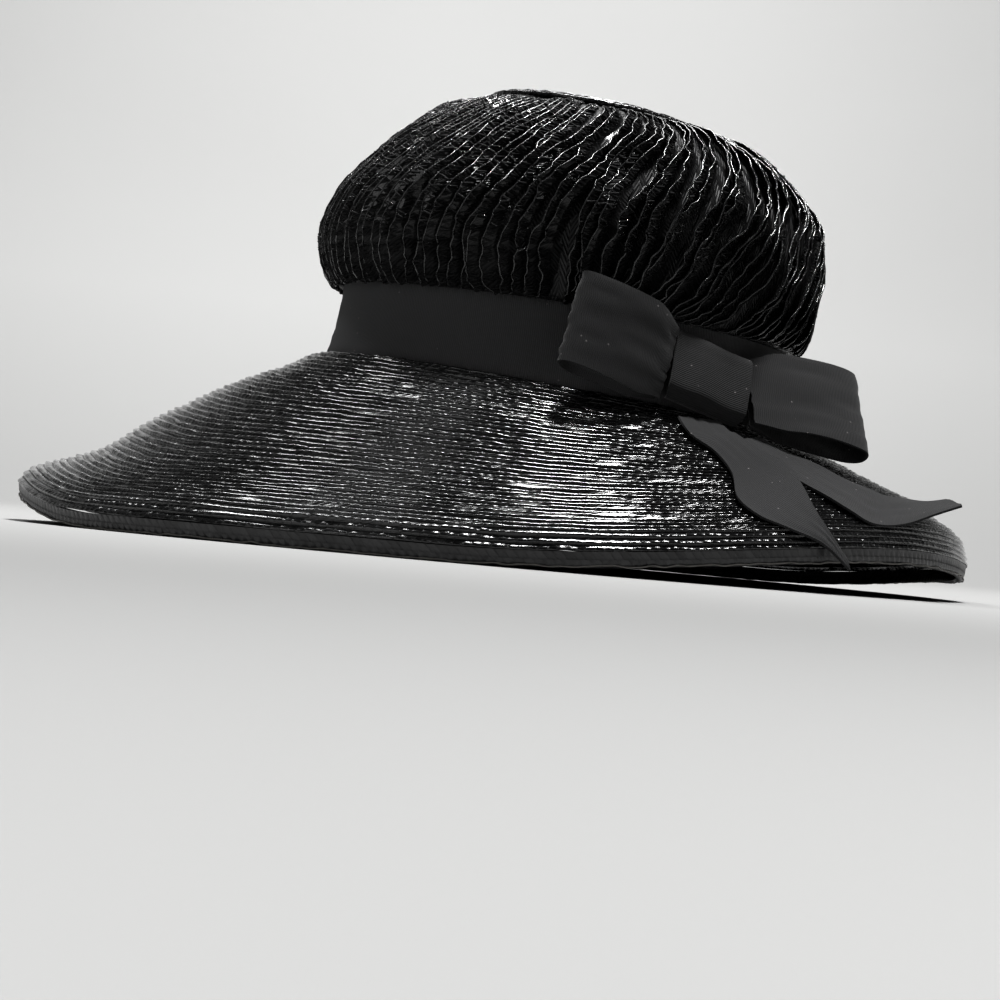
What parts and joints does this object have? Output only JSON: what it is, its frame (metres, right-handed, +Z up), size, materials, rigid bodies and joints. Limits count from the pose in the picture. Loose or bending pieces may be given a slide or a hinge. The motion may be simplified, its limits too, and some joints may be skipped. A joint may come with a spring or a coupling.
{
  "type": "wide-brimmed straw hat with a gathered crown, hatband and bow",
  "caption": "Wide-brimmed black straw hat with a gathered crown, a turned-down rim and a ribbon hatband tied in a flat bow.",
  "frame": {"origin": "on the plane the rim rests on, under the middle of the brim's bounding box", "axes": "+Z up through the crown, +Y towards the back of the hat, +X towards the wearer's left, the side the bow is on"},
  "size_m": [0.36, 0.396, 0.1958],
  "materials": {
    "straw_braid": "glossy narrow straw braid, sewn in rows",
    "gathered_straw": "glossy crinkled straw braid, gathered",
    "ribbon": "matt grosgrain ribbon"
  },
  "bodies": {
    "root": {"brim": "straw_braid", "crown_tip": "straw_braid", "crown_wall": "gathered_straw", "hatband": "ribbon", "bow_loop_front": "ribbon", "bow_loop_back": "ribbon", "bow_knot": "ribbon", "bow_tail_near": "ribbon", "bow_tail_far": "ribbon"}
  },
  "joints": []
}
